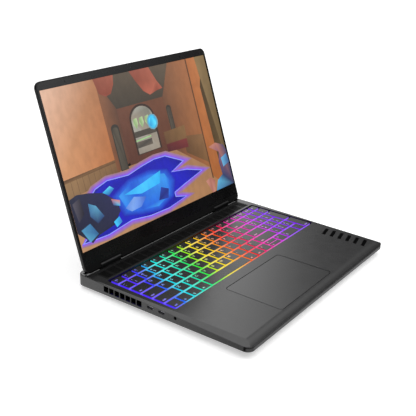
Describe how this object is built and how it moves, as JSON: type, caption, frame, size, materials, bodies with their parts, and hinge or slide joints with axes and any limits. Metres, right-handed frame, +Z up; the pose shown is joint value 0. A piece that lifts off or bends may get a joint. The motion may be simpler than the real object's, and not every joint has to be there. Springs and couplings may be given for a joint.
{
  "type": "laptop computer",
  "caption": "Open gaming laptop with a backlit keyboard and number pad, a touchpad, side vents and ports, and a thin-bezel screen on a friction hinge.",
  "frame": {"origin": "under the middle of the open laptop's bounding box, on the table", "axes": "+Z up, +X to the user's right, +Y from the front edge to the back; lid open at 108.7 degrees"},
  "size_m": [0.3564, 0.3426, 0.2631],
  "materials": {
    "dark_aluminium": "fine sandblasted, anodised dark grey",
    "touchpad_face": "matte coated glass, dark grey",
    "case_plastic": "matte, fine texture",
    "knuckle_metal": "satin black",
    "bezel_plastic": "fine matte black",
    "inlay": "dark satin",
    "rubber": "matte",
    "dome_rubber": "translucent silicone",
    "keycaps": "painted black top, clear sides",
    "light_guide": "clear acrylic",
    "display_glass": "anti-glare",
    "panel_backlight": "white diffuser and film",
    "steel": "plain",
    "port_steel": "nickel plated",
    "port_plastic": "moulded black",
    "board": "solder mask",
    "silicon": "chip package",
    "copper": "bare copper",
    "fins": "plain",
    "fan_plastic": "moulded",
    "battery": "moulded black",
    "cells": "laminated foil pouch",
    "speaker": "moulded",
    "cable": "flat ribbon",
    "antenna": "thin foil"
  },
  "bodies": {
    "base": {"top_case": "dark_aluminium", "bottom_cover": "case_plastic", "feet": "rubber", "case_screws": "steel", "rear_grille": "case_plastic", "palm_inlay": "inlay", "touchpad_frame": "steel", "keyboard_plate": "steel", "light_guide": "light_guide", "key_domes": "dome_rubber", "hinge_knuckle_left": "knuckle_metal", "hinge_knuckle_right": "knuckle_metal", "motherboard": "board", "processors": "silicon", "heat_pipes": "copper", "fin_stacks": "fins", "fan_housing_left": "case_plastic", "fan_housing_right": "case_plastic", "battery_frame": "battery", "battery_cells": "cells", "ssd": "board", "memory_modules": "board", "wifi_card": "board", "speaker_left": "speaker", "speaker_right": "speaker", "usb_c_ports": "port_steel", "audio_jack": "port_plastic", "usb_a_ports": "port_steel", "network_port": "port_steel", "video_port": "port_steel", "power_inlet": "port_plastic"},
    "lid": {"lid_cover": "dark_aluminium", "screen_bezel": "bezel_plastic", "hinge_cover": "case_plastic", "lcd_panel": "display_glass", "backlight_unit": "panel_backlight", "camera_module": "silicon", "microphones": "silicon", "wifi_antennas": "antenna", "lid_bumpers": "rubber", "display_cable": "cable", "lid_hinge_bracket_left": "steel", "lid_hinge_bracket_right": "steel", "hinge_shaft_left": "steel", "hinge_shaft_right": "steel"},
    "touchpad": {"touchpad": "touchpad_face"},
    "fan_left": {"fan_left": "fan_plastic"},
    "fan_right": {"fan_right": "fan_plastic"},
    "function_keys": {"function_keys": "keycaps"},
    "number_keys": {"number_keys": "keycaps"},
    "upper_letter_keys": {"upper_letter_keys": "keycaps"},
    "home_letter_keys": {"home_letter_keys": "keycaps"},
    "lower_letter_keys": {"lower_letter_keys": "keycaps"},
    "bottom_keys": {"bottom_keys": "keycaps"},
    "space_bar": {"space_bar": "keycaps"},
    "enter_key": {"enter_key": "keycaps"},
    "backspace_key": {"backspace_key": "keycaps"},
    "arrow_keys": {"arrow_keys": "keycaps"},
    "number_pad_keys": {"number_pad_keys": "keycaps"},
    "power_key": {"power_key": "keycaps"}
  },
  "joints": [
    {"name": "lid_hinge", "type": "hinge", "parent": "base", "child": "lid", "pos_m": [0, 0.08816, 0.0233], "axis": [-1, 0, 0], "range_deg": [-108.7, 41.3]},
    {"name": "touchpad_click", "type": "hinge", "parent": "base", "child": "touchpad", "pos_m": [0, -0.07516, 0.01938], "axis": [1, 0, 0], "range_deg": [0, 0.35], "stiffness_Nm_per_rad": 8, "springref_deg": -0.34},
    {"name": "fan_left_spin", "type": "hinge", "parent": "base", "child": "fan_left", "pos_m": [-0.106, 0.03764, 0.009], "axis": [0, 0, 1], "continuous": true},
    {"name": "fan_right_spin", "type": "hinge", "parent": "base", "child": "fan_right", "pos_m": [0.106, 0.03764, 0.009], "axis": [0, 0, 1], "continuous": true},
    {"name": "function_keys_press", "type": "slide", "parent": "base", "child": "function_keys", "axis": [0, 0, -1], "range_m": [0, 0.0015], "stiffness_N_per_m": 150, "springref_m": -0.002},
    {"name": "number_keys_press", "type": "slide", "parent": "base", "child": "number_keys", "axis": [0, 0, -1], "range_m": [0, 0.0015], "stiffness_N_per_m": 150, "springref_m": -0.002},
    {"name": "upper_letter_keys_press", "type": "slide", "parent": "base", "child": "upper_letter_keys", "axis": [0, 0, -1], "range_m": [0, 0.0015], "stiffness_N_per_m": 150, "springref_m": -0.002},
    {"name": "home_letter_keys_press", "type": "slide", "parent": "base", "child": "home_letter_keys", "axis": [0, 0, -1], "range_m": [0, 0.0015], "stiffness_N_per_m": 150, "springref_m": -0.002},
    {"name": "lower_letter_keys_press", "type": "slide", "parent": "base", "child": "lower_letter_keys", "axis": [0, 0, -1], "range_m": [0, 0.0015], "stiffness_N_per_m": 150, "springref_m": -0.002},
    {"name": "bottom_keys_press", "type": "slide", "parent": "base", "child": "bottom_keys", "axis": [0, 0, -1], "range_m": [0, 0.0015], "stiffness_N_per_m": 150, "springref_m": -0.002},
    {"name": "space_bar_press", "type": "slide", "parent": "base", "child": "space_bar", "axis": [0, 0, -1], "range_m": [0, 0.0015], "stiffness_N_per_m": 150, "springref_m": -0.002},
    {"name": "enter_key_press", "type": "slide", "parent": "base", "child": "enter_key", "axis": [0, 0, -1], "range_m": [0, 0.0015], "stiffness_N_per_m": 150, "springref_m": -0.002},
    {"name": "backspace_key_press", "type": "slide", "parent": "base", "child": "backspace_key", "axis": [0, 0, -1], "range_m": [0, 0.0015], "stiffness_N_per_m": 150, "springref_m": -0.002},
    {"name": "arrow_keys_press", "type": "slide", "parent": "base", "child": "arrow_keys", "axis": [0, 0, -1], "range_m": [0, 0.0015], "stiffness_N_per_m": 150, "springref_m": -0.002},
    {"name": "number_pad_keys_press", "type": "slide", "parent": "base", "child": "number_pad_keys", "axis": [0, 0, -1], "range_m": [0, 0.0015], "stiffness_N_per_m": 150, "springref_m": -0.002},
    {"name": "power_key_press", "type": "slide", "parent": "base", "child": "power_key", "axis": [0, 0, -1], "range_m": [0, 0.0015], "stiffness_N_per_m": 150, "springref_m": -0.002}
  ]
}
